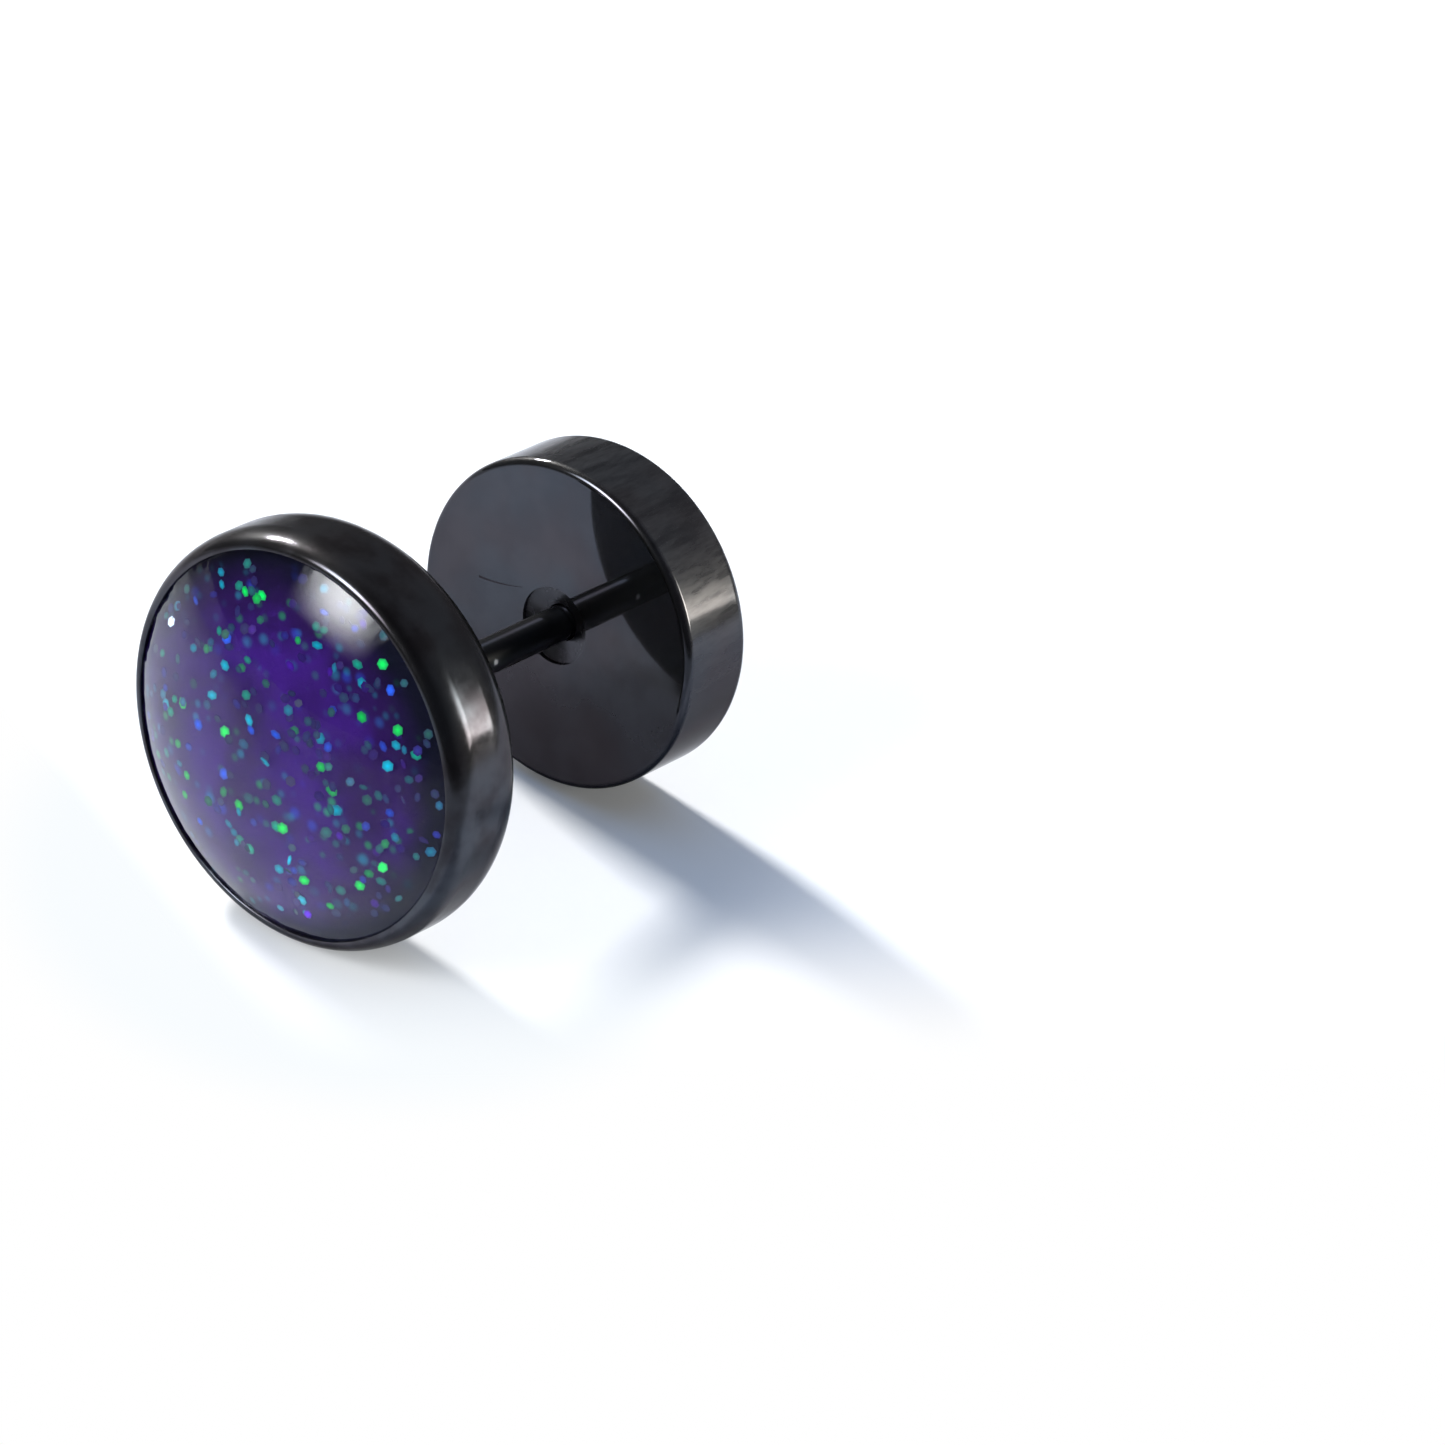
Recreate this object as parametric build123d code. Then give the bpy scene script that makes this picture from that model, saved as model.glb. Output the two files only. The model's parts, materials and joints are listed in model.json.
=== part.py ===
from build123d import *
import os
from math import asin, atan2, cos, degrees, hypot, radians, sin

# Stud earring of the false-plug kind, in millimetres, lying on its rims as it comes to rest by itself.
# Each piece is turned about its own axis, local +Z, which points out of the front of the earring.
# Local zero is the cup's flat back face. The finished piece is then laid down with its front
# towards -Y and the surface it lies on at Z = 0, under the middle of its bounding box.

# Angle of every turned face's seam about local Z, from local X, in degrees. The seam lies low,
# just beside the line along which the piece touches the surface.
seam_angle = -92.7

# Cup
cup_diameter = 10.0
cup_side_height = 0.2
cup_back_round = 1.3
rim_round_height = 1.25
rim_width = 0.4
lip_round = 0.1
recess_depth = 1.0

# Resin in the recess
resin_clearance = 0.02
glitter_thickness = 0.4
dome_rise = 1.4

# Post, soldered to the cup's back
post_diameter = 0.86
solder_round = 0.15
post_tip_chamfer = 0.08

# Room for the ear lobe, from the cup's back face to the back disc's inner face
lobe_gap = 6.45

# Back disc
back_diameter = 8.15
back_thickness = 2.2
back_inner_round = 0.2
back_outer_round = 0.3
counterbore_diameter = 1.92
counterbore_wall = 0.12
counterbore_cone_depth = 0.15
back_wall = 0.45

# Screw between the post and the back disc
screw_pitch = 0.25
screw_depth = 0.05
screw_length = 1.5
screw_clearance = 0.03
post_tip_gap = 0.1

# Worked out from the sizes above
cup_radius = cup_diameter / 2
cup_thickness = cup_back_round + cup_side_height + rim_round_height
recess_radius = cup_radius - rim_width
recess_floor = cup_thickness - recess_depth
rim_top_radius = recess_radius + lip_round
rim_edge = cup_thickness - lip_round
resin_radius = recess_radius - resin_clearance
glitter_bottom = recess_floor + resin_clearance
glitter_top = glitter_bottom + glitter_thickness
dome_bottom = glitter_top + resin_clearance
dome_ball_radius = (resin_radius**2 + dome_rise**2) / (2 * dome_rise)
dome_ball_centre = rim_edge + dome_rise - dome_ball_radius
post_radius = post_diameter / 2
back_radius = back_diameter / 2
back_face = -lobe_gap
back_outside = back_face - back_thickness
counterbore_radius = counterbore_diameter / 2
counterbore_floor = back_face - counterbore_wall
screw_hole_mouth = counterbore_floor - counterbore_cone_depth
screw_hole_end = back_outside + back_wall
screw_hole_radius = post_radius + screw_clearance
post_turns = round(screw_length / screw_pitch)
hole_turns = int((screw_hole_mouth - screw_hole_end) / screw_pitch)
post_tip = screw_hole_end + post_tip_gap


def turned(outline):
    """Solid turned about local Z from edges drawn with X as the radius and Y as the height."""
    return revolve(Plane.XZ * make_face(outline), Axis.Z).rotate(Axis.Z, seam_angle)


def screw_points(crest, root, start, turns):
    """Zigzag of the screw's turns, from start upwards, each turn from crest to root and back."""
    points = []
    for turn in range(turns):
        points.append((crest, start + turn * screw_pitch))
        points.append((root, start + (turn + 0.5) * screw_pitch))
    points.append((crest, start + turns * screw_pitch))
    return points


def cup_with_post():
    screw_start = post_tip + post_tip_chamfer
    shaft = Polyline(
        (0, post_tip),
        (post_radius - post_tip_chamfer, post_tip),
        *screw_points(post_radius, post_radius - screw_depth, screw_start, post_turns),
        (post_radius, -solder_round),
    )
    solder_centre = (post_radius + solder_round, -solder_round)
    solder = CenterArc(solder_centre, solder_round, 180, -90)
    back_round_centre = (cup_radius - cup_back_round, cup_back_round)
    back = Line((post_radius + solder_round, 0), (back_round_centre[0], 0))
    back_round = CenterArc(back_round_centre, cup_back_round, -90, 90)
    rim_start = cup_thickness - rim_round_height
    side = Line((cup_radius, cup_back_round), (cup_radius, rim_start))
    rim_centre = (rim_top_radius, rim_start)
    rim = EllipticalCenterArc(rim_centre, cup_radius - rim_top_radius, rim_round_height, 0, arc_size=90)
    lip = CenterArc((rim_top_radius, rim_edge), lip_round, 90, 90)
    recess = Polyline(
        (recess_radius, rim_edge),
        (recess_radius, recess_floor),
        (0, recess_floor),
        (0, post_tip),
    )
    return turned([shaft, solder, back, back_round, side, rim, lip, recess])


def glitter_layer():
    outline = Polyline(
        (0, glitter_bottom),
        (resin_radius, glitter_bottom),
        (resin_radius, glitter_top),
        (0, glitter_top),
        close=True,
    )
    return turned(outline)


def resin_dome():
    base = Polyline(
        (0, rim_edge + dome_rise),
        (0, dome_bottom),
        (resin_radius, dome_bottom),
        (resin_radius, rim_edge),
    )
    edge_angle = degrees(atan2(rim_edge - dome_ball_centre, resin_radius))
    cap = CenterArc((0, dome_ball_centre), dome_ball_radius, edge_angle, 90 - edge_angle)
    return turned([base, cap])


def back_disc():
    inner_end = back_radius - back_inner_round
    outer_end = back_radius - back_outer_round
    screw_start = screw_hole_mouth - hole_turns * screw_pitch
    hole = Polyline(
        (0, back_outside),
        (0, screw_hole_end),
        (screw_hole_radius, screw_hole_end),
        *screw_points(screw_hole_radius, screw_hole_radius + screw_depth, screw_start, hole_turns),
        (counterbore_radius, counterbore_floor),
        (counterbore_radius, back_face),
        (inner_end, back_face),
    )
    inner_round = CenterArc((inner_end, back_face - back_inner_round), back_inner_round, 0, 90)
    side = Line((back_radius, back_face - back_inner_round), (back_radius, back_outside + back_outer_round))
    outer_round = CenterArc((outer_end, back_outside + back_outer_round), back_outer_round, -90, 90)
    outside = Line((outer_end, back_outside), (0, back_outside))
    return turned([hole, inner_round, side, outer_round, outside])


def resting_place():
    """Place in which the cup's back round and the back disc's outer round both touch the surface."""
    cup_touch = (cup_radius - cup_back_round, cup_back_round)
    back_touch = (back_radius - back_outer_round, back_outside + back_outer_round)
    rise = cup_touch[0] - back_touch[0]
    run = cup_touch[1] - back_touch[1]
    tilt = atan2(rise, run) + asin((cup_back_round - back_outer_round) / hypot(rise, run))
    height = cup_touch[0] * cos(tilt) - cup_touch[1] * sin(tilt) + cup_back_round
    reach_front = dome_ball_centre * cos(tilt) + dome_ball_radius
    reach_back = back_touch[0] * sin(tilt) - back_touch[1] * cos(tilt) + back_outer_round
    return Location((0, (reach_front - reach_back) / 2, height), (90 - degrees(tilt), 0, 0))


def main():
    os.makedirs("parts", exist_ok=True)
    place = resting_place()
    pieces = {
        "cup_with_post": cup_with_post(),
        "glitter_layer": glitter_layer(),
        "resin_dome": resin_dome(),
        "back_disc": back_disc(),
    }
    for name, piece in pieces.items():
        export_step(place * piece, f"parts/{name}.step")
    print("tilt of the axis, degrees:", 90 - place.orientation.X)
    print("place of the cup's back centre:", tuple(place.position))


main()
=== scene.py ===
import json
import math
import random
from collections import namedtuple

import bpy
from bpy.props import FloatProperty, FloatVectorProperty, IntProperty, PointerProperty
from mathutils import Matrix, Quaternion, Vector, noise


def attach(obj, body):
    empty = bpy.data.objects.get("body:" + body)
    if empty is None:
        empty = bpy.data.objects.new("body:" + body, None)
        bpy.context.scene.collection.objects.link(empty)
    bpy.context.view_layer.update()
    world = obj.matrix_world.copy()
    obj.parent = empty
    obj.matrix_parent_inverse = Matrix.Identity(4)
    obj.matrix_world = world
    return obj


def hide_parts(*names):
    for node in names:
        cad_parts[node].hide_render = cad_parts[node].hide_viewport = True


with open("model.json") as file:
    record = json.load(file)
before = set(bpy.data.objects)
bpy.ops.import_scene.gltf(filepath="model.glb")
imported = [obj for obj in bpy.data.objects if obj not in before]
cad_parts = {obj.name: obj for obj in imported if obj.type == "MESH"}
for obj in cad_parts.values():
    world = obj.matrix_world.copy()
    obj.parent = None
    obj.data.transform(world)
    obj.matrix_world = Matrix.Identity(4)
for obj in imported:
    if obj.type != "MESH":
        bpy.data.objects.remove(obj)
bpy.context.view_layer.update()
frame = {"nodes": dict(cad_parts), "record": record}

bl_info = {
    "name": "Glitter resin stud earring",
    "version": (1, 0, 0),
    "blender": (4, 5, 0),
    "location": "View3D > Sidebar > Earring",
    "description": "Black steel stud earring with a clear dome over violet glitter and a screw-on back disc",
    "category": "Add Mesh",
}

MM = 0.001

# The earring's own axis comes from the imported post: OUTWARD points out of the domed front.
POST = next(mount for mount in frame["record"]["mounts"] if mount["name"] == "post")
OUTWARD = -Vector(POST["axis"]).normalized()
SIDEWAYS = Vector((1.0, 0.0, 0.0))
UPWARD = OUTWARD.cross(SIDEWAYS)


def along_axis(node):
    """Lowest and greatest height of a node over the post's mount, and its greatest distance from the axis."""
    heights, distances = [], []
    for vertex in frame["nodes"][node].data.vertices:
        offset = vertex.co - Vector(POST["pos_m"])
        height = offset.dot(OUTWARD)
        heights.append(height)
        distances.append((offset - OUTWARD * height).length)
    return min(heights), max(heights), max(distances)


# Heights of the visual pieces are counted from ZERO, the middle of the cup's flat back face.
CUP_THICKNESS = 2.75 * MM
CUP_TIP, CUP_TOP, CUP_RADIUS = along_axis("cup_with_post")
TO_ZERO = CUP_TOP - CUP_THICKNESS
ZERO = Vector(POST["pos_m"]) + OUTWARD * TO_ZERO
BED_BOTTOM, BED_TOP, BED_RADIUS = along_axis("glitter_layer")
_, DOME_TOP, DOME_RADIUS = along_axis("resin_dome")
DISC_OUTSIDE, DISC_FACE, DISC_RADIUS = along_axis("back_disc")

# Fixed places, in millimetres in the imported frame.
# A painted glint on the post, drawn as a spot of uncoated metal, is centred here.
PAINTED_GLINT_SPOT = (0.43, 1.42, 4.6)
SHEET_MIDDLE = (8.0, 6.0, 0.0)
UNDER_CUP = (0.0, -2.0, 0.0)

LAMPS_AIM = Vector((0, 0, 4.5 * MM))
POLISHING_SLANT = math.radians(-28)
# The resin crept up the recess mostly at its lower left, over this width beside the wall.
CREPT_TOWARDS = math.radians(208)
CREPT_WIDTH = 0.35 * MM
BED_UNEVENNESS = 0.02 * MM


def length(name, description, default):
    return FloatProperty(name=name, description=description, default=default,
                         subtype="DISTANCE", unit="LENGTH")


def share(name, description, default):
    return FloatProperty(name=name, description=description, default=default,
                         min=0.0, max=1.0, subtype="FACTOR")


def colour(name, description, default):
    return FloatVectorProperty(name=name, description=description, default=default,
                               size=3, min=0.0, max=1.0, subtype="COLOR")


class EarringCup(bpy.types.PropertyGroup):
    radius: length("Cup radius", "Half the cup's diameter", CUP_RADIUS)
    back_round: length("Back round", "Radius of the round at the cup's back", 1.3 * MM)
    rim_height: length("Rim round height", "Height of the long round down from the rim", 0.7 * MM)
    rim_drop: length("Rim drop", "Depth of the rim's crest below the top of the cup", 0.07 * MM)
    rim_width: length("Rim width", "Distance from the cup's side to the recess", 0.4 * MM)
    lip_round: length("Lip round", "Radius of the rim's inner lip", 0.04 * MM)
    recess_depth: length("Recess depth", "Depth of the recess that holds the resin", 1.0 * MM)


class EarringPost(bpy.types.PropertyGroup):
    radius: length("Post radius", "Half the post's diameter", POST["dims"]["r_mm"] * MM)
    tip: length("Post tip", "Height of the post's tip, from the cup's back face", CUP_TIP - TO_ZERO)
    solder_round: length("Solder round", "Radius of the solder where the post meets the cup", 0.15 * MM)
    tip_chamfer: length("Tip chamfer", "Chamfer of the post's tip", 0.08 * MM)
    screw_length: length("Screw length", "Length of the screw on the post's end", 1.5 * MM)
    screw_pitch: length("Screw pitch", "Height of one turn of the screw", 0.25 * MM)
    screw_depth: length("Screw depth", "Depth of the screw's groove", 0.05 * MM)


class EarringBackDisc(bpy.types.PropertyGroup):
    radius: length("Disc radius", "Half the back disc's diameter", DISC_RADIUS)
    face: length("Inner face", "Height of the inner face, from the cup's back face", DISC_FACE - TO_ZERO)
    outside: length("Outer face", "Height of the outer face, from the cup's back face",
                    DISC_OUTSIDE - TO_ZERO)
    inner_round: length("Inner edge round", "Radius of the edge round the inner face", 0.2 * MM)
    outer_round: length("Outer edge round", "Radius of the edge round the outer face", 0.3 * MM)
    counterbore_radius: length("Counterbore radius", "Radius of the shallow bore round the post", 0.96 * MM)
    counterbore_wall: length("Counterbore wall", "Depth of the bore's straight wall", 0.12 * MM)
    cone_depth: length("Cone depth", "Depth of the cone from the bore to the screw hole", 0.15 * MM)
    hole_radius: length("Hole radius", "Radius of the screw hole", 0.46 * MM)
    wall: length("Blind wall", "Thickness of metal behind the screw hole", 0.45 * MM)


class EarringResin(bpy.types.PropertyGroup):
    edge: length("Resin edge", "Depth below the rim at which the dome meets the recess", 0.1 * MM)
    rise: length("Dome rise", "Height of the dome over its edge", DOME_TOP - CUP_TOP + 0.1 * MM)
    ripple: length("Edge ripple", "Unevenness of the dome's edge where the resin crept up the recess",
                   0.08 * MM)
    deep: colour("Deep violet", "Colour of the pigment between the flakes", (0.016, 0.0038, 0.053))
    light: colour("Light violet", "Colour of the clouds in the pigment", (0.033, 0.0072, 0.138))
    edge_tint: colour("Edge tint", "Colour of the resin at its edge, without pigment", (0.0025, 0.003, 0.01))
    edge_width: length("Clear edge", "Width of the ring at the resin's edge that holds no pigment", 0.6 * MM)


class EarringGlitter(bpy.types.PropertyGroup):
    flake: length("Flake size", "Width of a hexagonal flake, from corner to corner", 0.27 * MM)
    thickness: length("Flake thickness", "Thickness of a flake", 0.012 * MM)
    spread: length("Depth of the flakes", "Height over the violet layer up to which flakes float", 0.32 * MM)
    count: IntProperty(name="Flakes", description="Number of flakes scattered in the resin",
                       default=250, min=0)
    seed: IntProperty(name="Seed", description="Seed of the scatter", default=11)
    # Painted glint: the flakes glow with this strength, whichever way they face.
    glow: share("Sparkle", "How strongly a flake that faces the light sparkles", 0.9)
    green: colour("Green", "Colour of the green flakes", (0.0, 0.72, 0.1))
    teal: colour("Teal", "Colour of the teal flakes", (0.0, 0.4, 0.26))
    cyan: colour("Cyan", "Colour of the cyan flakes", (0.0, 0.47, 0.66))
    blue: colour("Blue", "Colour of the blue flakes", (0.02, 0.13, 0.95))
    violet: colour("Violet", "Colour of the violet flakes", (0.13, 0.02, 0.75))


class EarringSteel(bpy.types.PropertyGroup):
    cool: colour("Cool black", "The coating's colour where it is thickest", (0.054, 0.059, 0.07))
    warm: colour("Plum black", "The coating's colour where it is thinnest", (0.057, 0.053, 0.06))
    polish: share("Polish", "Roughness where the steel is a mirror", 0.03)
    haze: share("Haze", "Roughness where the polish is cloudy", 0.13)
    waviness: length("Waviness", "Height of the unevenness that polishing left", 0.0008 * MM)
    dust: length("Dust", "Radius of the largest specks of dust", 0.02 * MM)


class EarringStage(bpy.types.PropertyGroup):
    floor: length("Floor", "Half the width of the white sheet", 0.35)
    camera: FloatVectorProperty(name="Camera", description="Place of the camera", subtype="TRANSLATION",
                                default=(0.072896, -0.089921, 0.086384))
    target: FloatVectorProperty(name="Target", description="Point of the floor at the middle of the picture",
                                subtype="TRANSLATION", default=(0.001659, 0.008859, 0.0))
    roll: FloatProperty(name="Roll", description="Roll of the camera", subtype="ANGLE",
                        default=math.radians(7.55))
    lens: FloatProperty(name="Lens", description="Focal length for a 36 mm sensor", subtype="DISTANCE_CAMERA",
                        default=153.74)
    sheet: colour("Sheet", "Colour of the white sheet", (0.86, 0.87, 0.88))
    near_sheet: colour("Near sheet", "How mirrors see the sheet round the earring", (0.65, 0.675, 0.71))
    far_sheet: colour("Far sheet", "How mirrors see the sheet far from the earring", (0.12, 0.123, 0.13))
    near: length("Fade start", "Distance at which mirrors see the sheet begin to fade", 30.0 * MM)
    far: length("Fade end", "Distance at which mirrors see the sheet fully faded", 80.0 * MM)


Run = namedtuple("Run", "points wave", defaults=(None,))


def line(start, end, steps=1, wave=None):
    """Straight run of an outline: pairs of a point (distance from the axis, height) and its direction."""
    start, end = Vector(start), Vector(end)
    direction = (end - start).normalized()
    return Run([(start.lerp(end, step / steps), direction) for step in range(steps + 1)], wave)


def arc(centre, radii, first, last, steps=24, wave=None):
    """Run along a circle or an ellipse from the first angle to the last, in degrees."""
    turning = 1 if last > first else -1
    points = []
    for step in range(steps + 1):
        angle = math.radians(first + (last - first) * step / steps)
        point = Vector((centre[0] + radii[0] * math.cos(angle), centre[1] + radii[1] * math.sin(angle)))
        direction = Vector((-radii[0] * math.sin(angle), radii[1] * math.cos(angle))) * turning
        points.append((point, direction.normalized()))
    return Run(points, wave)


def screw(height, angle, pitch):
    """Share of the screw's depth at a height over its start and an angle, from 0 to 1 and back in a turn."""
    turn = (height / pitch - angle / math.tau) % 1.0
    return 1 - abs(2 * turn - 1)


def turned(name, runs, segments=320):
    """Piece turned about the earring's axis. Its outline has the material on its left, and each run has
    the exact normals of its curve, so that mirror faces reflect without facets. A run's wave moves its
    points, and leaves the normals to Blender."""
    vertices, faces, normals = [], [], []
    turns = [(math.cos(math.tau * s / segments), math.sin(math.tau * s / segments)) for s in range(segments)]

    def ring(point, wave):
        start = len(vertices)
        is_pole = point[0] < 1e-9
        for number, (cosine, sine) in enumerate(turns[:1] if is_pole else turns):
            radius, height = wave(point, math.tau * number / segments) if wave else point
            vertices.append(ZERO + (SIDEWAYS * cosine + UPWARD * sine) * radius + OUTWARD * height)
        return [start] * segments if is_pole else list(range(start, start + segments))

    last = None
    for run in runs:
        previous, previous_direction = None, None
        for point, direction in run.points:
            if last is None or previous is not None:
                last = ring(point, run.wave)
            if previous is not None:
                for s in range(segments):
                    after = (s + 1) % segments
                    corners = [(previous[s], s, previous_direction),
                               (previous[after], after, previous_direction),
                               (last[after], after, direction), (last[s], s, direction)]
                    face, face_normals = [], []
                    for corner, turn, way in corners:
                        if corner in face:
                            continue
                        face.append(corner)
                        cosine, sine = turns[turn]
                        face_normals.append(Vector((0, 0, 0)) if run.wave else
                                            (SIDEWAYS * cosine + UPWARD * sine) * way[1] - OUTWARD * way[0])
                    faces.append(face)
                    normals.extend(face_normals)
            previous, previous_direction = last, direction
    mesh = bpy.data.meshes.new(name)
    mesh.from_pydata(vertices, [], faces)
    mesh.shade_smooth()
    mesh.normals_split_custom_set(normals)
    mesh.update()
    piece = bpy.data.objects.new(name, mesh)
    bpy.context.scene.collection.objects.link(piece)
    return piece


class Wire:
    """A node's output that takes part in Python sums: each sum adds its Math nodes."""

    def __init__(self, finish, socket):
        self.finish = finish
        self.socket = socket

    def _sum(self, operation, *terms):
        return self.finish.node("ShaderNodeMath", {"operation": operation}, dict(enumerate(terms)))

    def __add__(self, other):
        return self._sum("ADD", self, other)

    def __sub__(self, other):
        return self._sum("SUBTRACT", self, other)

    def __rsub__(self, other):
        return self._sum("SUBTRACT", other, self)

    def __mul__(self, other):
        return self._sum("MULTIPLY", self, other)

    def __pow__(self, other):
        return self._sum("POWER", self, other)

    def __lt__(self, other):
        return self._sum("LESS_THAN", self, other)

    def __gt__(self, other):
        return self._sum("GREATER_THAN", self, other)

    __radd__ = __add__


class Finish:
    """The nodes of one material, lamp or room."""

    def __init__(self, owner):
        owner.use_nodes = True
        self.owner = owner
        self.tree = owner.node_tree
        self.tree.nodes.clear()

    def node(self, kind, settings=None, inputs=None, output=0):
        """Adds a node with its settings, then the values or wires of its sockets, and returns one output."""
        node = self.tree.nodes.new(kind)
        for name, value in (settings or {}).items():
            setattr(node, name, value)
        for socket, value in (inputs or {}).items():
            if isinstance(value, Wire):
                self.tree.links.new(value.socket, node.inputs[socket])
            else:
                node.inputs[socket].default_value = value
        return Wire(self, node.outputs[output])

    def mix(self, factor, first, second):
        """Mixes two colours. Of the node's sockets, 6 and 7 are its colours and output 2 is their mix."""
        first, second = (value if isinstance(value, Wire) else (*value, 1.0) for value in (first, second))
        return self.node("ShaderNodeMix", {"data_type": "RGBA"}, {0: factor, 6: first, 7: second}, 2)

    def steps(self, value, low, high):
        """0 below low, 1 above high, and a smooth step between them."""
        return self.node("ShaderNodeMapRange", {"interpolation_type": "SMOOTHSTEP"},
                         {"Value": value, "From Min": low, "From Max": high})

    def millimetres(self):
        """The piece's own place at rest, in millimetres."""
        place = self.node("ShaderNodeTexCoord", output="Object")
        return self.node("ShaderNodeVectorMath", {"operation": "SCALE"}, {0: place, "Scale": 1 / MM})

    def along(self, place, direction):
        """Distance of a place in millimetres from the cup's back centre, along a direction."""
        way = self.node("ShaderNodeVectorMath", {"operation": "DOT_PRODUCT"},
                        {0: place, 1: direction}, "Value")
        return way - ZERO.dot(direction) / MM

    def distance(self, place, point):
        """Distance in millimetres of a place from a point."""
        return self.node("ShaderNodeVectorMath", {"operation": "DISTANCE"}, {0: place, 1: point}, "Value")

    def axes(self, place):
        """The X and the Y of a place."""
        return (self.node("ShaderNodeSeparateXYZ", None, {0: place}, output) for output in ("X", "Y"))

    def noise(self, place, scale, detail=2.0, roughness=0.5):
        """Clouds of numbers round 0.5, finer with a larger scale."""
        return self.node("ShaderNodeTexNoise", None,
                         {"Vector": place, "Scale": scale, "Detail": detail, "Roughness": roughness})

    def cells(self, place, scale):
        """Scattered cells: the distance from the middle of the nearest one, and that cell's random colour."""
        return (self.node("ShaderNodeTexVoronoi", None, {"Vector": place, "Scale": scale}, output)
                for output in ("Distance", "Color"))

    def channel(self, tint, name):
        """The Red, Green or Blue of a colour."""
        return self.node("ShaderNodeSeparateColor", None, {"Color": tint}, name)

    def size(self, value):
        """A number without its sign."""
        return self.node("ShaderNodeMath", {"operation": "ABSOLUTE"}, {0: value})

    def from_axis(self, place):
        """Distance in millimetres of a place from the earring's axis."""
        return (self.along(place, SIDEWAYS) ** 2.0 + self.along(place, UPWARD) ** 2.0) ** 0.5

    def camera_sees(self, shader, otherwise):
        """One shader for the camera, and another for mirrors and for the light that surfaces throw about."""
        camera_ray = self.node("ShaderNodeLightPath", output="Is Camera Ray")
        return self.node("ShaderNodeMixShader", None, {0: camera_ray, 1: otherwise, 2: shader})

    def output(self, shader, kind="ShaderNodeOutputMaterial"):
        """Ends the nodes with a shader, and returns what they are for."""
        node = self.tree.nodes.new(kind)
        self.tree.links.new(shader.socket, node.inputs["Surface"])
        return self.owner


def black_steel(name, finish_and_painted_light):
    """Mirror-polished black coating on steel: faint cool and plum tints, cloudy polish, a little dust.
    The second argument, given the finish and the place, gives how cloudy the polish is, how much darker the
    coating is drawn, mostly as painted shade, how much painted highlight of light, uncoated-looking metal
    lies on it, and how much of a dull film lies on it, each from 0 to 1, and the marks that polishing left."""
    steel = bpy.context.scene.earring_steel
    finish = Finish(bpy.data.materials.new(name))
    place = finish.millimetres()
    cloudy, dark, painted_highlight, film, streaks = finish_and_painted_light(finish, place)
    clouds = finish.noise(place, 0.45, 2.0)
    tint = finish.mix(finish.steps(clouds, 0.35, 0.65), steel.cool, steel.warm)
    # Darkening towards a near black: mostly painted shade.
    tint = finish.mix(dark, tint, (0.01, 0.0055, 0.008))
    # Painted highlight: the colour of uncoated metal where a glint or a sheen is drawn.
    tint = finish.mix(painted_highlight, tint, (0.62, 0.6, 0.57))
    specks_per_mm = 1.3
    specks, chance = finish.cells(place, specks_per_mm)
    chance = finish.channel(chance, "Red")
    dust = (specks < chance * (specks_per_mm * steel.dust / MM)) * (chance > 0.6)
    surface = finish.node("ShaderNodeBsdfPrincipled", None, {
        "Base Color": finish.mix(dust * 0.7, tint, (0.5, 0.5, 0.52)),
        "Metallic": 1.04 - dust - painted_highlight * 0.6 - film * 0.2,
        "Roughness": (steel.polish + cloudy * steel.haze * (0.5 + finish.steps(streaks, 0.35, 0.65))
                      + dust * 0.6 + painted_highlight * 0.3),
        "Normal": finish.node("ShaderNodeBump", None, {
            "Distance": steel.waviness, "Height": (clouds + streaks * 0.5) * cloudy}),
        "Specular Tint": (0.55, 0.53, 0.52, 1.0),
        "Coat Weight": film,
        "Coat Roughness": 0.4,
    })
    return finish.output(surface)


def cup_finish_and_painted_light(finish, place):
    """The cup is cloudy, with faint dark blotches of painted shade that grow stronger towards its rim. The
    post is bright under a thicker film, and carries a small painted glint drawn as a spot of uncoated metal."""
    # Painted glint: a small spot of light, uncoated-looking metal on the post.
    painted_glint_distance = finish.distance(place, PAINTED_GLINT_SPOT) + finish.noise(place, 9.0, 2.0) * 0.12
    outside_post = finish.steps(finish.from_axis(place), 0.5, 1.5)
    painted_highlight = 1.0 - finish.steps(painted_glint_distance, 0.08, 0.19)
    # Painted shade: faint dark blotches on the cup, stronger towards its rim.
    painted_shade_blotches = finish.steps(finish.noise(place, 0.9, 4.0, 0.6), 0.4, 0.66) * outside_post
    painted_shade_blotches = painted_shade_blotches * (0.12 + finish.steps(finish.along(place, OUTWARD), 0.3, 1.4) * 0.33)
    film = 0.5 - outside_post * 0.22 - painted_shade_blotches * 0.16
    return 0.1 + outside_post * 0.75, painted_shade_blotches, painted_highlight, film, finish.noise(place, 2.4, 3.0, 0.55)


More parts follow.
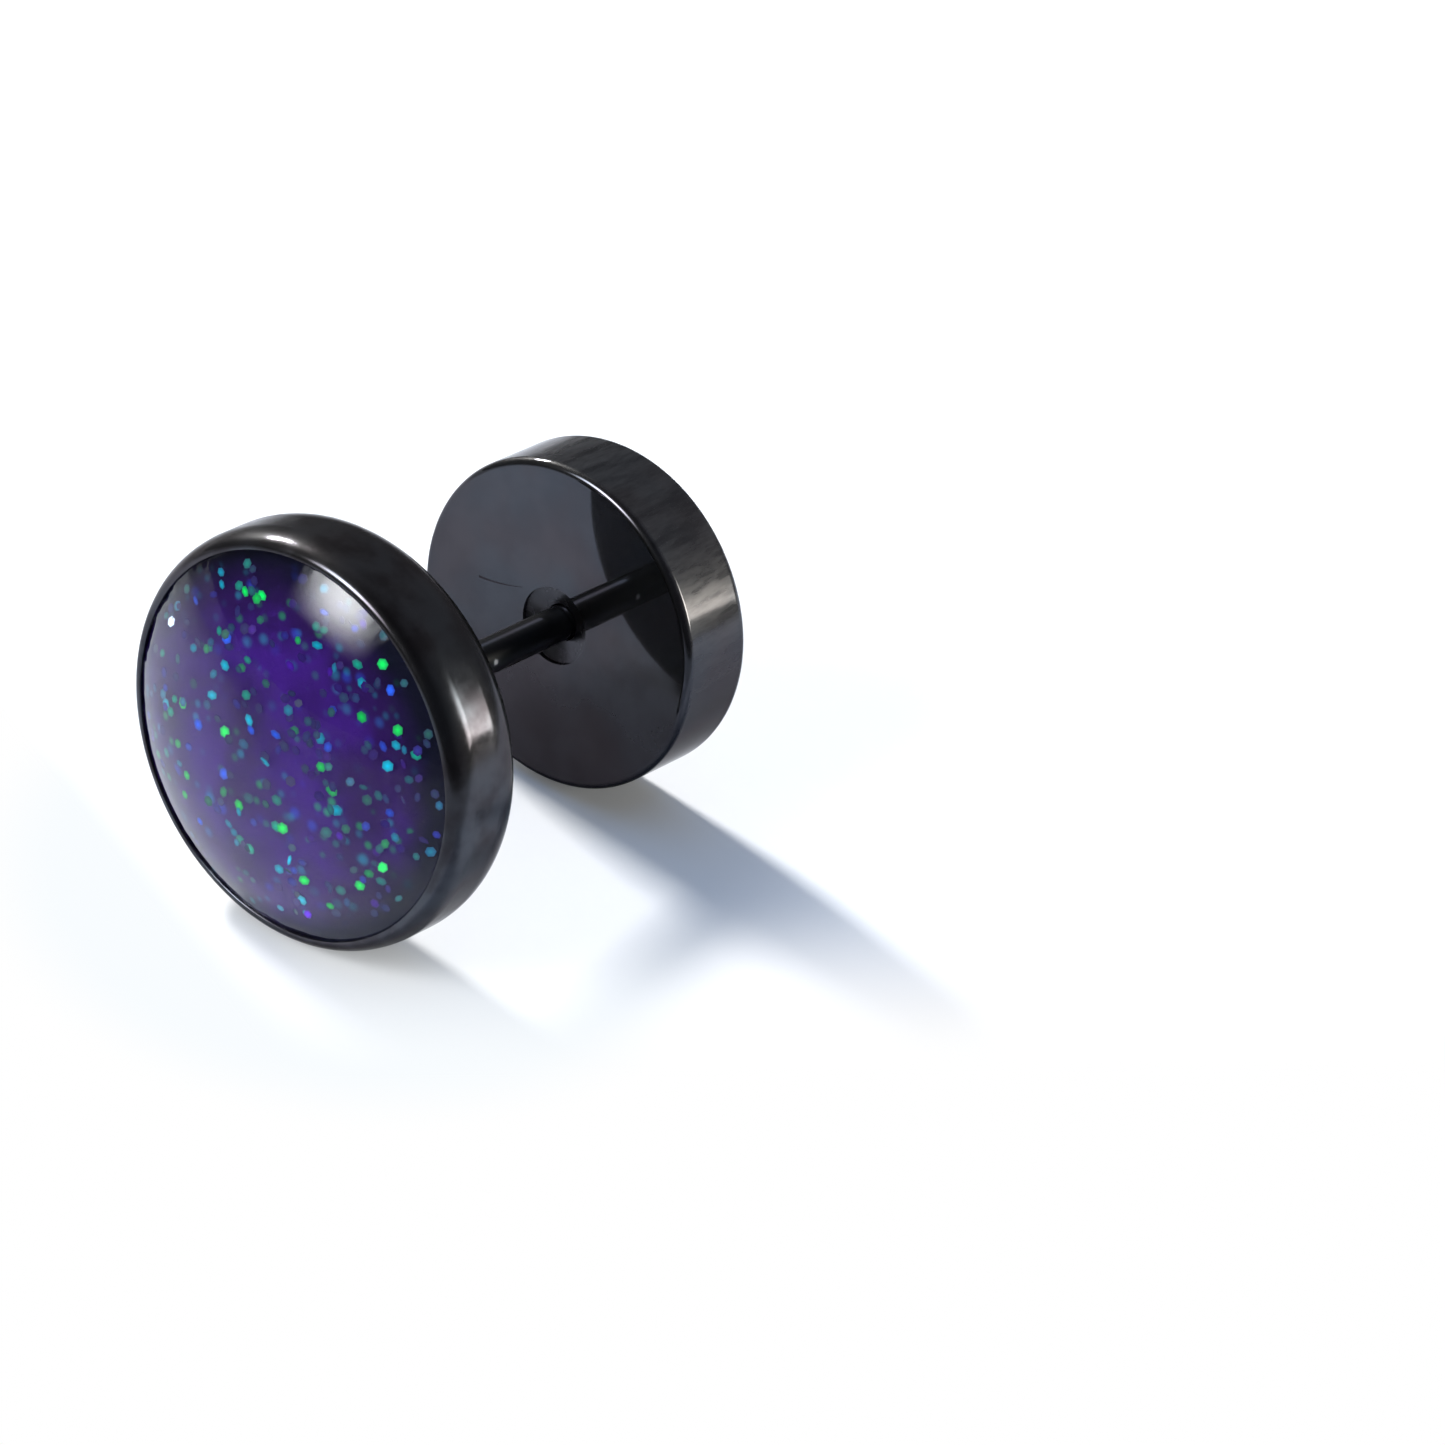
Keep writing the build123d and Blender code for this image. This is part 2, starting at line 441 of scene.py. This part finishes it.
def disc_finish_and_painted_light(finish, place):
    """The faces are mirrors, drawn darker towards their lower edge as painted shade, and faintly mottled. The
    side has oblique polishing marks, is drawn darker below as painted shade, and carries a faint painted
    sheen of uncoated-looking metal in a band above the middle. The turned counterbore is cloudy, and drawn a
    little darker as painted shade in the recess. A fine scratch curves over the inner face beside it."""
    disc = bpy.context.scene.earring_back_disc
    face, radius = disc.face / MM, disc.radius / MM
    across, up = finish.along(place, SIDEWAYS), finish.along(place, UPWARD)
    height, from_axis = finish.along(place, OUTWARD), finish.from_axis(place)
    bore = (from_axis < disc.counterbore_radius / MM) * (height > (disc.outside + disc.wall) / MM)
    side = 1.0 - finish.steps(height, (disc.face - disc.inner_round) / MM, face - 0.01)
    side = side * finish.steps(from_axis, (disc.radius - disc.outer_round) / MM, radius)
    # Painted shade: the faces darker towards their lower edge.
    lower = 1.0 - finish.steps(up + across * -0.25, -4.2, 2.6)
    scratch_length = 1.3
    start = across + 2.4
    scratch = finish.size(up - (start * 0.13 + start ** 2.0 * 0.11 + 0.15)) < 0.03 - start * 0.018
    scratch = scratch * (start > 0.0) * (start < scratch_length) * (height > face - 0.01)
    # Painted shade: the side darker below.
    below = 1.0 - finish.steps(up, 0.5, 2.1)
    mottled = finish.steps(finish.noise(place, 0.8, 4.0, 0.6), 0.35, 0.65)
    # Darkening of the faces, the side and the counterbore is painted shade. The mottling and the scratch are
    # marks.
    dark = (1.0 - side) * (lower * 0.66 + mottled * 0.14) + side * below * 0.35 + scratch * 0.6 + bore * 0.15
    oblique = finish.node("ShaderNodeMapping", None, {
        "Vector": place, "Rotation": (POLISHING_SLANT, 0.0, 0.0), "Scale": (1.0, 0.22, 1.0)})
    streaks = finish.noise(oblique, 3.2, 4.0, 0.6)
    # Painted sheen: a lighter band of uncoated-looking metal on the side, above the middle.
    band = finish.steps(up, 1.5, 2.2) * (1.0 - finish.steps(up, 2.7, 4.3))
    painted_sheen = side * band * finish.steps(streaks, 0.2, 0.6)
    film = 0.22 + side * finish.steps(streaks, 0.2, 0.8) * (0.5 - below * 0.4) + bore * 0.2
    return side * 0.4 + bore * 1.4, dark, painted_sheen * 0.09, film, streaks


def violet_pigment():
    """Violet pigment with clouds and the blurred colours of flakes that lie deep in it. It is drawn lighter
    in the middle and towards the lower left, and darker towards the edge, the right and the top as painted
    shade, and it has a faint painted glow. It thins out towards the resin's edge, where the black recess
    shows through. The thinning reaches further in at the right and the top, as painted shade."""
    resin = bpy.context.scene.earring_resin
    glitter = bpy.context.scene.earring_glitter
    finish = Finish(bpy.data.materials.new("violet_pigment"))
    place = finish.millimetres()
    across, up = finish.along(place, SIDEWAYS), finish.along(place, UPWARD)
    from_axis = finish.from_axis(place)
    # Painted shade: the clouds darken towards the edge, the right and the top.
    clouds = finish.noise(place, 0.6, 3.0, 0.55) + 0.1 - from_axis * 0.055 - across * 0.02 - up * 0.02
    pigment = finish.mix(finish.steps(clouds, 0.3, 0.72), resin.deep, resin.light)
    for scale, size, tints in ((2.1, 0.42, (glitter.blue, glitter.cyan)),
                               (2.8, 0.4, (glitter.cyan, glitter.green))):
        distance, chance = finish.cells(place, scale)
        flake_tint = finish.mix(finish.steps(finish.channel(chance, "Red"), 0.45, 0.55), *tints)
        chosen = finish.steps(finish.channel(chance, "Green"), 0.5, 1.0)
        spot = (1.0 - finish.steps(distance, size * 0.2, size)) * chosen
        pigment = finish.mix(spot * 0.2, pigment, flake_tint)
    # Painted shade: the dark edge reaches further in at the right and the top.
    reach = from_axis + across * 0.12 + up * 0.07 + finish.noise(place, 1.1, 2.0) * 0.5
    outer, ring = BED_RADIUS / MM, resin.edge_width / MM
    pigment = finish.mix(finish.steps(reach, outer - 2.0 * ring, outer + 0.15), pigment, resin.edge_tint)
    grain = finish.noise(place, 9.0, 2.0)
    surface = finish.node("ShaderNodeBsdfPrincipled", None, {
        "Base Color": pigment,
        "Roughness": 0.5 + grain * 0.2,
        "Specular IOR Level": 0.05,
        # Painted glow: the pigment gives off a little light of its own.
        "Emission Color": pigment,
        "Emission Strength": 0.1,
        "Normal": finish.node("ShaderNodeBump", None, {"Distance": 0.01 * MM, "Height": grain}),
    })
    return finish.output(surface)


def glitter_foil():
    """Coated foil that glows: each flake's mesh colour holds its tint and the strength of its painted glint,
    softer towards its corners. The glow is painted light, not a lamp.
    """
    glitter = bpy.context.scene.earring_glitter
    finish = Finish(bpy.data.materials.new("glitter_foil"))
    tint = finish.node("ShaderNodeAttribute", {"attribute_name": "tint"}, None, "Color")
    grain = finish.noise(finish.millimetres(), 14.0, 1.0)
    surface = finish.node("ShaderNodeBsdfPrincipled", None, {
        "Base Color": finish.mix(0.85 + grain * 0.1, tint, (0.0, 0.0, 0.0)),
        "Roughness": 0.35 + grain * 0.2,
        "Specular IOR Level": 0.1,
        # Painted glint: the flakes glow in their tint, though they are no lamps.
        "Emission Color": tint,
        "Emission Strength": glitter.glow,
    })
    return finish.output(surface)


def clear_resin():
    """Clear cast resin that bends the view and lets the lamps through to the glitter."""
    finish = Finish(bpy.data.materials.new("clear_resin"))
    place = finish.millimetres()
    ripple = finish.noise(place, 0.8, 2.0) + finish.noise(place, 3.5, 2.0) * 0.12
    smears = finish.noise(place, 2.4, 3.0, 0.6)
    resin = finish.node("ShaderNodeBsdfPrincipled", None, {
        "Base Color": (0.97, 0.97, 1.0, 1.0),
        "Roughness": finish.steps(smears, 0.45, 0.8) * 0.08,
        "IOR": 1.46,
        "Specular Tint": (0.76, 0.76, 0.76, 1.0),
        "Transmission Weight": 1.0,
        "Normal": finish.node("ShaderNodeBump", None, {"Distance": 0.004 * MM, "Height": ripple}),
    })
    lamps = finish.node("ShaderNodeLightPath", output="Is Shadow Ray")
    through = finish.node("ShaderNodeBsdfTransparent", None, {"Color": (0.93, 0.92, 0.97, 1.0)})
    return finish.output(finish.node("ShaderNodeMixShader", None, {0: lamps, 1: resin, 2: through}))


def white_sheet():
    """Plain white sheet with a faint grain. The camera sees it lit by the lamps, with shadows, only round the
    earring. Elsewhere a glowing white paper is painted over it: painted light that fades the shadows out
    towards the front right and lifts them a little everywhere, with a cool tint near the cup. Mirrors see it
    dim at a distance and darker towards the front right, as painted shade, so that the black steel shows a
    bright near sheet under a dark room."""
    stage = bpy.context.scene.earring_stage
    finish = Finish(bpy.data.materials.new("white_sheet"))
    place = finish.millimetres()
    grain = finish.noise(place, 1.2, 3.0)
    bump = finish.node("ShaderNodeBump", None, {"Distance": 0.01 * MM, "Height": grain})
    white = finish.mix(grain * 0.2, stage.sheet, (0.8, 0.81, 0.83))
    x, y = finish.axes(place)
    # Painted shade: mirrors see the sheet dimmer far from the earring and darker towards the front right.
    far_away = finish.steps(finish.distance(place, SHEET_MIDDLE), stage.near / MM, stage.far / MM)
    faded = finish.mix(far_away, stage.near_sheet, stage.far_sheet)
    faded = finish.mix(finish.steps(x * 0.5 - y * 0.85, 8.5, 15.0) * 0.5, faded, (0.0, 0.0, 0.0))
    seen, mirrored = (finish.node("ShaderNodeBsdfPrincipled", None, {
        "Base Color": tint, "Roughness": 0.75 + grain * 0.1, "Normal": bump}) for tint in (white, faded))
    # Painted light: a glowing white paper, cool near the cup, that washes the shadows out.
    past_cup = finish.steps(finish.distance(place, UNDER_CUP), 7.0, 9.5)
    clear = finish.mix(past_cup, (0.94, 0.975, 1.0), (1.0, 1.0, 1.0))
    paper = finish.node("ShaderNodeEmission", None, {"Color": clear, "Strength": 1.0})
    # Share of the lamp-lit sheet. The rest of the camera's view is the painted glowing paper.
    shaded = 0.93 - finish.steps(x * 0.75 - y * 0.66, 2.2, 8.8) * 0.93
    shaded = shaded * (1.0 - finish.steps(x * -0.33 - y * 0.94, 5.0, 7.0))
    seen = finish.node("ShaderNodeMixShader", None, {0: 1.0 - shaded, 1: seen, 2: paper})
    return finish.output(finish.camera_sees(seen, mirrored))


def dress(piece, material, body, slot, *nodes):
    """Gives a piece its material, and says what it moves with and the nodes it stands for. The slot, which
    names its finish, is not used.
    """
    piece.data.materials.append(material)
    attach(piece, body)
    if nodes:
        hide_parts(*nodes)


class EARRING_OT_cup_and_post(bpy.types.Operator):
    """Turns the cup and its soldered post as one piece of black steel"""
    bl_idname = "earring.cup_and_post"
    bl_label = "Cup and post"

    def execute(self, context):
        cup, post = context.scene.earring_cup, context.scene.earring_post
        recess = cup.radius - cup.rim_width
        floor = CUP_THICKNESS - cup.recess_depth
        lip_centre = (recess + cup.lip_round, CUP_THICKNESS - cup.rim_drop - cup.lip_round)
        rim_start = CUP_THICKNESS - cup.rim_drop - cup.rim_height
        screw_start = post.tip + post.tip_chamfer
        screw_end = screw_start + post.screw_length

        def thread(point, angle):
            radius, height = point
            fade = max(0.0, min(1.0, (height - screw_start) / (0.5 * post.screw_pitch),
                                (screw_end - height) / post.screw_pitch))
            groove = post.screw_depth * fade * screw(height - screw_start, angle, post.screw_pitch)
            return radius - groove, height

        piece = turned("cup_and_post", [
            line((0, post.tip), (post.radius - post.tip_chamfer, post.tip)),
            line((post.radius - post.tip_chamfer, post.tip), (post.radius, screw_start)),
            line((post.radius, screw_start), (post.radius, screw_end), 60, thread),
            line((post.radius, screw_end), (post.radius, -post.solder_round)),
            arc((post.radius + post.solder_round, -post.solder_round), (post.solder_round,) * 2, 180, 90, 12),
            line((post.radius + post.solder_round, 0), (cup.radius - cup.back_round, 0)),
            arc((cup.radius - cup.back_round, cup.back_round), (cup.back_round,) * 2, -90, 0, 40),
            line((cup.radius, cup.back_round), (cup.radius, rim_start)),
            arc((lip_centre[0], rim_start), (cup.radius - lip_centre[0], cup.rim_height), 0, 90, 40),
            arc(lip_centre, (cup.lip_round,) * 2, 90, 180, 16),
            line((recess, lip_centre[1]), (recess, floor)),
            line((recess, floor), (0, floor)),
        ])
        dress(piece, black_steel("black_steel_cup", cup_finish_and_painted_light), "front", "black_steel", "cup_with_post")
        return {"FINISHED"}


class EARRING_OT_back_disc(bpy.types.Operator):
    """Turns the screw-on back disc with its counterbore and blind screw hole"""
    bl_idname = "earring.back_disc"
    bl_label = "Back disc"

    def execute(self, context):
        disc, post = context.scene.earring_back_disc, context.scene.earring_post
        inner, outer = disc.inner_round, disc.outer_round
        floor = disc.face - disc.counterbore_wall
        mouth = floor - disc.cone_depth
        end = disc.outside + disc.wall

        def thread(point, angle):
            radius, height = point
            fade = max(0.0, min(1.0, (mouth - height) / (0.5 * post.screw_pitch)))
            groove = post.screw_depth * fade * screw(height - end, angle, post.screw_pitch)
            return radius + groove, height

        piece = turned("back_disc_polished", [
            line((0, disc.outside), (disc.radius - outer, disc.outside)),
            arc((disc.radius - outer, disc.outside + outer), (outer, outer), -90, 0, 24),
            line((disc.radius, disc.outside + outer), (disc.radius, disc.face - inner)),
            arc((disc.radius - inner, disc.face - inner), (inner, inner), 0, 90, 24),
            line((disc.radius - inner, disc.face), (disc.counterbore_radius, disc.face)),
            line((disc.counterbore_radius, disc.face), (disc.counterbore_radius, floor)),
            line((disc.counterbore_radius, floor), (disc.hole_radius, mouth)),
            line((disc.hole_radius, mouth), (disc.hole_radius, end), 60, thread),
            line((disc.hole_radius, end), (0, end)),
        ])
        dress(piece, black_steel("black_steel_disc", disc_finish_and_painted_light), "back", "black_steel", "back_disc")
        return {"FINISHED"}


class EARRING_OT_violet_layer(bpy.types.Operator):
    """Lays the violet resin layer in the cup's recess"""
    bl_idname = "earring.violet_layer"
    bl_label = "Violet layer"

    def execute(self, context):
        bottom, top = BED_BOTTOM - TO_ZERO, BED_TOP - TO_ZERO

        def uneven(point, angle):
            at = Vector((point[0] * math.cos(angle), point[0] * math.sin(angle), 0.0)) / MM
            return point[0], point[1] - BED_UNEVENNESS * (0.5 + 0.5 * noise.noise(at * 1.5))

        edge = 0.02 * MM
        piece = turned("violet_layer", [
            line((0, bottom), (BED_RADIUS, bottom)),
            line((BED_RADIUS, bottom), (BED_RADIUS, top - edge)),
            line((BED_RADIUS, top - edge), (BED_RADIUS - edge, top - 0.5 * edge)),
            line((BED_RADIUS - edge, top), (0, top), 60, uneven),
        ], 192)
        dress(piece, violet_pigment(), "front", "violet_glitter_resin", "glitter_layer")
        return {"FINISHED"}


class EARRING_OT_glitter(bpy.types.Operator):
    """Scatters the hexagonal flakes that float in the resin over the violet layer"""
    bl_idname = "earring.glitter"
    bl_label = "Glitter flakes"

    # Flakes drawn with a strong painted glint, as if they caught the light: place across and up from the axis
    # in millimetres, colour and strength of the painted glint.
    PAINTED_GLINTS = (
        (-3.74, 1.23, "white", 3.0), (-1.86, 2.94, "green", 1.4), (-1.39, 3.08, "green", 1.8),
        (-1.50, 2.95, "green", 0.9), (-1.98, 1.70, "blue", 1.3), (-1.84, 1.11, "cyan", 1.1),
        (-2.76, -0.28, "green", 1.2), (-1.99, 0.32, "cyan", 1.2), (-1.46, -0.28, "green", 1.6),
        (-0.92, 0.28, "cyan", 1.2), (0.31, 2.71, "cyan", 0.9), (2.02, 3.12, "green", 1.6),
        (2.35, 2.64, "blue", 1.3), (1.78, 1.70, "green", 0.9), (2.73, 1.84, "green", 1.2),
        (2.65, 0.93, "cyan", 1.4), (-0.33, -0.41, "cyan", 0.9), (0.36, -1.67, "green", 1.5),
        (0.63, -2.35, "cyan", 1.5), (2.96, -1.46, "green", 1.9), (1.05, -2.68, "green", 1.5),
        (2.46, -2.16, "green", 1.3), (1.04, -3.26, "cyan", 1.2), (1.20, -3.61, "violet", 1.5),
        (1.59, -0.64, "cyan", 0.9), (1.61, 2.44, "cyan", 0.8), (-0.2, 0.3, "blue", 0.9),
        (-2.2, -0.5, "blue", 1.0), (-1.3, -1.2, "blue", 1.0), (-0.8, -1.7, "green", 1.0),
        (3.3, 1.5, "teal", 1.1), (1.4, 2.8, "teal", 1.0), (-0.4, -2.6, "teal", 1.1),
        (0.2, -1.7, "teal", 1.1), (-3.3, -0.6, "cyan", 1.0),
    )

    def execute(self, context):
        glitter = context.scene.earring_glitter
        dice = random.Random(glitter.seed)
        tints = {"green": glitter.green, "teal": glitter.teal, "cyan": glitter.cyan, "blue": glitter.blue,
                 "violet": glitter.violet, "white": (0.7, 0.85, 1.0)}
        bed = Vector(context.scene.earring_resin.light)
        top = BED_TOP - TO_ZERO
        bright_height, lowest = 0.15 * MM, 0.02 * MM
        reach = BED_RADIUS - 0.4 * MM
        clustered, lean_spread = 0.25, 0.25
        # Each flake: across, up and height over the violet layer, its colour with its painted glint, and its
        # share of the full size.
        flakes = [(across * MM, up * MM, bright_height, Vector(tints[tint]) * painted_glint, 1.0)
                  for across, up, tint, painted_glint in self.PAINTED_GLINTS]
        across = up = 0.0
        for _ in range(glitter.count):
            if dice.random() < clustered:
                angle, gap = dice.uniform(0, math.tau), glitter.flake * dice.uniform(0.8, 2.5)
                across, up = across + gap * math.cos(angle), up + gap * math.sin(angle)
                inwards = min(1.0, reach / math.hypot(across, up))
                across, up = across * inwards, up * inwards
            else:
                distance = reach * math.sqrt(dice.random())
                angle = dice.uniform(0, math.tau)
                across, up = distance * math.cos(angle), distance * math.sin(angle)
            tint = tints[dice.choices(("green", "teal", "cyan", "blue", "violet"), (4, 4, 4, 4, 1))[0]]
            # Painted glint: a random strength of glow for each scattered flake, mostly faint.
            painted_glint = 0.05 + 0.85 * dice.random() ** 3
            flakes.append((across, up, lowest + glitter.spread * dice.random(),
                           bed * 0.8 * (1 - painted_glint) + Vector(tint) * painted_glint, dice.uniform(0.7, 1.0)))
        vertices, faces, colours = [], [], []
        for across, up, height, tint, size in flakes:
            lean = (Quaternion(SIDEWAYS, dice.gauss(0, lean_spread))
                    @ Quaternion(UPWARD, dice.gauss(0, lean_spread)))
            facing = lean @ OUTWARD
            first = (lean @ SIDEWAYS) * glitter.flake * 0.5 * size
            middle = ZERO + SIDEWAYS * across + UPWARD * up + OUTWARD * (top + height)
            start, turn = len(vertices), dice.uniform(0, math.tau)
            edge = bed * 0.35 + tint * 0.4
            for side in (0.5, -0.5):
                face_middle = middle + facing * glitter.thickness * side
                vertices.append(face_middle)
                colours.append((*tint, 1.0))
                for corner in range(6):
                    vertices.append(face_middle + Quaternion(facing, turn + corner * math.tau / 6) @ first)
                    colours.append((*edge, 1.0))
            for corner in range(6):
                here, after = start + 1 + corner, start + 1 + (corner + 1) % 6
                faces.extend([(start, here, after), (start + 7, after + 7, here + 7),
                              (here, here + 7, after + 7, after)])
        mesh = bpy.data.meshes.new("glitter_flakes")
        mesh.from_pydata(vertices, [], faces)
        tint_layer = mesh.attributes.new("tint", "FLOAT_COLOR", "POINT")
        tint_layer.data.foreach_set("color", [part for tint in colours for part in tint])
        piece = bpy.data.objects.new("glitter_flakes", mesh)
        # The flakes leave no shadows that can be seen on the violet layer.
        piece.visible_shadow = False
        context.scene.collection.objects.link(piece)
        dress(piece, glitter_foil(), "front", "violet_glitter_resin")
        return {"FINISHED"}


class EARRING_OT_clear_dome(bpy.types.Operator):
    """Casts the clear dome over the glitter, in touch with the recess and the violet layer"""
    bl_idname = "earring.clear_dome"
    bl_label = "Clear dome"

    def execute(self, context):
        resin, cup = context.scene.earring_resin, context.scene.earring_cup
        recess = cup.radius - cup.rim_width
        edge = CUP_THICKNESS - resin.edge
        ball = (DOME_RADIUS ** 2 + resin.rise ** 2) / (2 * resin.rise)
        centre = edge + resin.rise - ball
        outer = recess + 0.012 * MM
        edge_angle = math.degrees(math.acos(outer / ball))
        bottom = BED_TOP - TO_ZERO - 0.05 * MM

        def crept(point, angle):
            near = max(0.0, (point[0] - (recess - CREPT_WIDTH)) / CREPT_WIDTH)
            spot = Vector((math.cos(angle), math.sin(angle), 0.0))
            lively = 0.12 + 0.88 * max(0.0, math.cos(angle - CREPT_TOWARDS)) ** 0.7
            wave = noise.noise(spot * 4.0) + 0.7 * noise.noise(spot * 11.0) + 0.5 * noise.noise(spot * 27.0)
            return point[0], point[1] + resin.ripple * lively * near ** 2 * (wave - 0.2)

        piece = turned("clear_dome", [
            line((0, bottom), (outer, bottom)),
            line((outer, bottom), (outer, centre + ball * math.sin(math.radians(edge_angle)))),
            arc((0, centre), (ball, ball), edge_angle, 90, 110, crept),
        ], 384)
        dress(piece, clear_resin(), "front", "clear_resin", "resin_dome")
        return {"FINISHED"}


def soft_lamp(name, azimuth, elevation, distance, width, height, brightness, tint, fades, mirrored=True):
    """Rectangular lamp that faces the earring. Its brightness is that of its middle, where 1 is as bright as
    white paper. It fades over three shares of its width or height: at each side, at the foot and at the head.
    Mirrors don't show a lamp that isn't mirrored."""
    azimuth, elevation = math.radians(azimuth), math.radians(elevation)
    towards = Vector((math.cos(elevation) * math.cos(azimuth), math.cos(elevation) * math.sin(azimuth),
                      math.sin(elevation)))
    lamp = bpy.data.lights.new(name, "AREA")
    lamp.shape = "RECTANGLE"
    lamp.size, lamp.size_y = width, height
    lamp.energy = 4 * brightness * width * height
    finish = Finish(lamp)
    spot = finish.node("ShaderNodeNewGeometry", output="Parametric")
    across, up = finish.axes(spot)
    sides, foot, head = fades
    glow = 1.0 - finish.steps(finish.size(across * 2.0 - 1.0), 1.0 - 2.0 * sides, 1.0)
    glow = glow * finish.steps(up, 0.0, foot) * (1.0 - finish.steps(up, 1.0 - head, 1.0))
    light = finish.node("ShaderNodeEmission", None, {"Color": (*tint, 1.0), "Strength": glow})
    finish.output(light, "ShaderNodeOutputLight")
    holder = bpy.data.objects.new(name, lamp)
    holder.location = LAMPS_AIM + towards * distance
    holder.rotation_euler = (-towards).to_track_quat("-Z", "Y").to_euler()
    holder.visible_glossy = holder.visible_transmission = mirrored
    bpy.context.scene.collection.objects.link(holder)


class EARRING_OT_stage(bpy.types.Operator):
    """Sets out the white sheet, the soft lamps, the room and the camera"""
    bl_idname = "earring.stage"
    bl_label = "Stage"

    def execute(self, context):
        stage = context.scene.earring_stage
        half = stage.floor
        mesh = bpy.data.meshes.new("white_sheet")
        corners = [(-half, -half, 0), (half, -half, 0), (half, half, 0), (-half, half, 0)]
        mesh.from_pydata(corners, [], [(0, 1, 2, 3)])
        sheet = bpy.data.objects.new("white_sheet", mesh)
        context.scene.collection.objects.link(sheet)
        mesh.materials.append(white_sheet())

        soft_lamp("lamp_behind_left", 170.5, 31.8, 0.6, 0.09, 0.09, 220, (1.0, 0.98, 0.95), (0.1, 0.1, 0.1))
        soft_lamp("lamp_right", 40, 18, 0.6, 0.22, 0.325, 15, (1.0, 0.975, 0.87), (0.5, 0.04, 0.75))
        soft_lamp("lamp_front", -113, 34, 0.6, 0.42, 0.34, 24, (0.95, 0.97, 1.0), (0.48, 0.48, 0.48))
        soft_lamp("lamp_above", 0, 90, 0.5, 0.6, 0.6, 0.5, (0.42, 0.8, 1.5), (0.05, 0.05, 0.05), False)

        world = bpy.data.worlds.new("room")
        context.scene.world = world
        room = Finish(world)
        way = room.node("ShaderNodeTexCoord", output="Generated")
        behind = room.node("ShaderNodeSeparateXYZ", None, {0: way}, "Y")
        clouds = room.steps(room.noise(way, 1.6, 2.0), 0.3, 0.7)
        walls = room.mix(clouds, (0.16, 0.165, 0.18), (0.24, 0.245, 0.26))
        walls = room.mix(room.steps(behind, -0.3, 0.4), (0.055, 0.055, 0.065), walls)
        dark, seen = (room.node("ShaderNodeBackground", None, {"Color": tint, "Strength": 1.0})
                      for tint in (walls, (0.93, 0.94, 0.96, 1.0)))
        room.output(room.camera_sees(seen, dark), "ShaderNodeOutputWorld")

        lens = bpy.data.cameras.new("camera")
        lens.lens = stage.lens
        lens.sensor_width = 36.0
        lens.clip_start = 0.005
        camera = bpy.data.objects.new("camera", lens)
        camera.location = stage.camera
        view = (Vector(stage.target) - Vector(stage.camera)).to_track_quat("-Z", "Y")
        camera.rotation_euler = (view @ Quaternion((0, 0, 1), stage.roll)).to_euler()
        context.scene.collection.objects.link(camera)
        context.scene.camera = camera
        context.scene.view_settings.view_transform = "Standard"
        return {"FINISHED"}


class EARRING_PT_panel(bpy.types.Panel):
    bl_idname = "EARRING_PT_panel"
    bl_label = "Stud earring"
    bl_space_type = "VIEW_3D"
    bl_region_type = "UI"
    bl_category = "Earring"

    def draw(self, context):
        for group in GROUPS:
            box = self.layout.box()
            settings = getattr(context.scene, group)
            for name in settings.bl_rna.properties.keys():
                if name not in {"rna_type", "name"}:
                    box.prop(settings, name)
        for operator in OPERATORS:
            self.layout.operator(operator.bl_idname)


GROUPS = {
    "earring_cup": EarringCup,
    "earring_post": EarringPost,
    "earring_back_disc": EarringBackDisc,
    "earring_resin": EarringResin,
    "earring_glitter": EarringGlitter,
    "earring_steel": EarringSteel,
    "earring_stage": EarringStage,
}
OPERATORS = (
    EARRING_OT_stage,
    EARRING_OT_cup_and_post,
    EARRING_OT_back_disc,
    EARRING_OT_violet_layer,
    EARRING_OT_glitter,
    EARRING_OT_clear_dome,
)


def register():
    for name, group in GROUPS.items():
        bpy.utils.register_class(group)
        setattr(bpy.types.Scene, name, PointerProperty(type=group))
    for operator in OPERATORS:
        bpy.utils.register_class(operator)
    bpy.utils.register_class(EARRING_PT_panel)


def unregister():
    bpy.utils.unregister_class(EARRING_PT_panel)
    for operator in reversed(OPERATORS):
        bpy.utils.unregister_class(operator)
    for name, group in reversed(GROUPS.items()):
        delattr(bpy.types.Scene, name)
        bpy.utils.unregister_class(group)


def main():
    register()
    bpy.ops.earring.stage()
    bpy.ops.earring.cup_and_post()
    bpy.ops.earring.back_disc()
    bpy.ops.earring.violet_layer()
    bpy.ops.earring.glitter()
    bpy.ops.earring.clear_dome()


if __name__ == "__main__":
    main()
